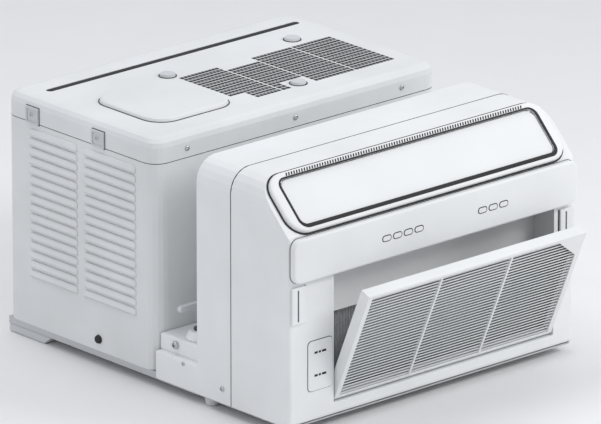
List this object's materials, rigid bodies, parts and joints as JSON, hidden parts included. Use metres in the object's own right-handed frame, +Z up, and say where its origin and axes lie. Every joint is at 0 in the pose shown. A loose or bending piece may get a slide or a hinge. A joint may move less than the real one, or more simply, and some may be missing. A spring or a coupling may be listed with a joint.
{
  "type": "window air conditioner",
  "caption": "Saddle-shaped window air conditioner: indoor and outdoor units joined by a low bridge, with a tilting intake panel, outlet flap, vanes, fans and push buttons.",
  "frame": {"origin": "centre of the underside of the bridge, on the seat that rests on the window sill", "axes": "+X to the right seen from the room, +Y from the room to outdoors, +Z up"},
  "size_m": [0.5673, 0.7006, 0.384],
  "materials": {
    "shell_white": "satin moulded plastic with fine spark texture",
    "casing_white": "powder coat",
    "trim_grey": "satin",
    "dark_plastic": "satin",
    "filter_mesh": "woven mesh",
    "steel": "zinc plated",
    "aluminium_fin": "bare fins",
    "copper": "bare copper tube",
    "black_metal": "black enamel",
    "rubber": "moulded",
    "board_green": "solder mask"
  },
  "bodies": {
    "root": {"arm_hub_left": "shell_white", "arm_hub_right": "shell_white", "back_shell": "shell_white", "base_pan": "steel", "blower_motor": "steel", "bridge_cap": "shell_white", "bridge_screw_left": "steel", "bridge_screw_right": "steel", "bridge_skirt": "shell_white", "compressor": "black_metal", "condenser_coil": "aluminium_fin", "control_board": "board_green", "corner_grip_left": "shell_white", "corner_grip_right": "shell_white", "cross_bar": "trim_grey", "display_band": "shell_white", "drain_plug": "rubber", "evaporator_coil": "aluminium_fin", "fan_motor": "steel", "fan_shroud": "dark_plastic", "front_foot_left": "trim_grey", "front_foot_right": "trim_grey", "front_shell": "shell_white", "intake_frame": "shell_white", "lid": "casing_white", "lid_clip_left_front": "trim_grey", "lid_clip_left_rear": "trim_grey", "lid_clip_right_front": "trim_grey", "lid_clip_right_rear": "trim_grey", "lid_plug_1": "trim_grey", "lid_plug_2": "trim_grey", "lid_plug_3": "trim_grey", "lid_screw_1": "steel", "lid_screw_2": "steel", "lid_screw_3": "steel", "liquid_pipe": "copper", "outlet_rim": "shell_white", "rear_casing": "casing_white", "rear_foot": "trim_grey", "shell_screw_left": "steel", "shell_screw_right": "steel", "side_plate": "trim_grey", "suction_pipe": "copper", "vane_carrier": "dark_plastic"},
    "condenser_fan": {"condenser_fan": "dark_plastic"},
    "blower_wheel": {"blower_wheel": "dark_plastic"},
    "louver_flap": {"louver_flap": "shell_white"},
    "vane_1": {"vane_1": "dark_plastic"},
    "vane_2": {"vane_2": "dark_plastic"},
    "vane_3": {"vane_3": "dark_plastic"},
    "vane_link": {"vane_link": "dark_plastic"},
    "front_panel": {"front_panel": "shell_white", "air_filter": "filter_mesh"},
    "button_left_1": {"button_left_1": "trim_grey"},
    "button_left_2": {"button_left_2": "trim_grey"},
    "button_left_3": {"button_left_3": "trim_grey"},
    "button_left_4": {"button_left_4": "trim_grey"},
    "button_right_1": {"button_right_1": "trim_grey"},
    "button_right_2": {"button_right_2": "trim_grey"},
    "button_right_3": {"button_right_3": "trim_grey"}
  },
  "joints": [
    {"name": "condenser_fan_spin", "type": "hinge", "parent": "root", "child": "condenser_fan", "pos_m": [0.085, 0.298, 0.18], "axis": [0, 1, 0], "continuous": true},
    {"name": "blower_spin", "type": "hinge", "parent": "root", "child": "blower_wheel", "pos_m": [0, -0.112, 0.262], "axis": [1, 0, 0], "continuous": true},
    {"name": "flap_hinge", "type": "hinge", "parent": "root", "child": "louver_flap", "pos_m": [0, -0.18637, 0.35415], "axis": [-1, 0, 0], "range_deg": [0, 55]},
    {"name": "panel_hinge", "type": "hinge", "parent": "root", "child": "front_panel", "pos_m": [0, -0.2372, 0.0335], "axis": [1, 0, 0], "range_deg": [-23, 0]},
    {"name": "vane_1_turn", "type": "hinge", "parent": "root", "child": "vane_1", "pos_m": [-0.15, -0.19203, 0.31003], "axis": [0, -0.7071, 0.7071], "range_deg": [-30, 30]},
    {"name": "vane_2_turn", "type": "hinge", "parent": "root", "child": "vane_2", "pos_m": [0, -0.19203, 0.31003], "axis": [0, -0.7071, 0.7071], "range_deg": [-30, 30]},
    {"name": "vane_3_turn", "type": "hinge", "parent": "root", "child": "vane_3", "pos_m": [0.15, -0.19203, 0.31003], "axis": [0, -0.7071, 0.7071], "range_deg": [-30, 30]},
    {"name": "vane_link_slide", "type": "slide", "parent": "root", "child": "vane_link", "axis": [1, 0, 0], "range_m": [-0.0075, 0.0075]},
    {"name": "button_left_1_press", "type": "slide", "parent": "root", "child": "button_left_1", "axis": [0, 1, 0], "range_m": [0, 0.001], "stiffness_N_per_m": 400},
    {"name": "button_left_2_press", "type": "slide", "parent": "root", "child": "button_left_2", "axis": [0, 1, 0], "range_m": [0, 0.001], "stiffness_N_per_m": 400},
    {"name": "button_left_3_press", "type": "slide", "parent": "root", "child": "button_left_3", "axis": [0, 1, 0], "range_m": [0, 0.001], "stiffness_N_per_m": 400},
    {"name": "button_left_4_press", "type": "slide", "parent": "root", "child": "button_left_4", "axis": [0, 1, 0], "range_m": [0, 0.001], "stiffness_N_per_m": 400},
    {"name": "button_right_1_press", "type": "slide", "parent": "root", "child": "button_right_1", "axis": [0, 1, 0], "range_m": [0, 0.001], "stiffness_N_per_m": 400},
    {"name": "button_right_2_press", "type": "slide", "parent": "root", "child": "button_right_2", "axis": [0, 1, 0], "range_m": [0, 0.001], "stiffness_N_per_m": 400},
    {"name": "button_right_3_press", "type": "slide", "parent": "root", "child": "button_right_3", "axis": [0, 1, 0], "range_m": [0, 0.001], "stiffness_N_per_m": 400}
  ],
  "couplings": [
    {"joint": "vane_2_turn", "follows": "vane_1_turn", "ratio": 1},
    {"joint": "vane_3_turn", "follows": "vane_1_turn", "ratio": 1},
    {"joint": "vane_link_slide", "follows": "vane_1_turn", "m_per_rad": -0.014}
  ]
}
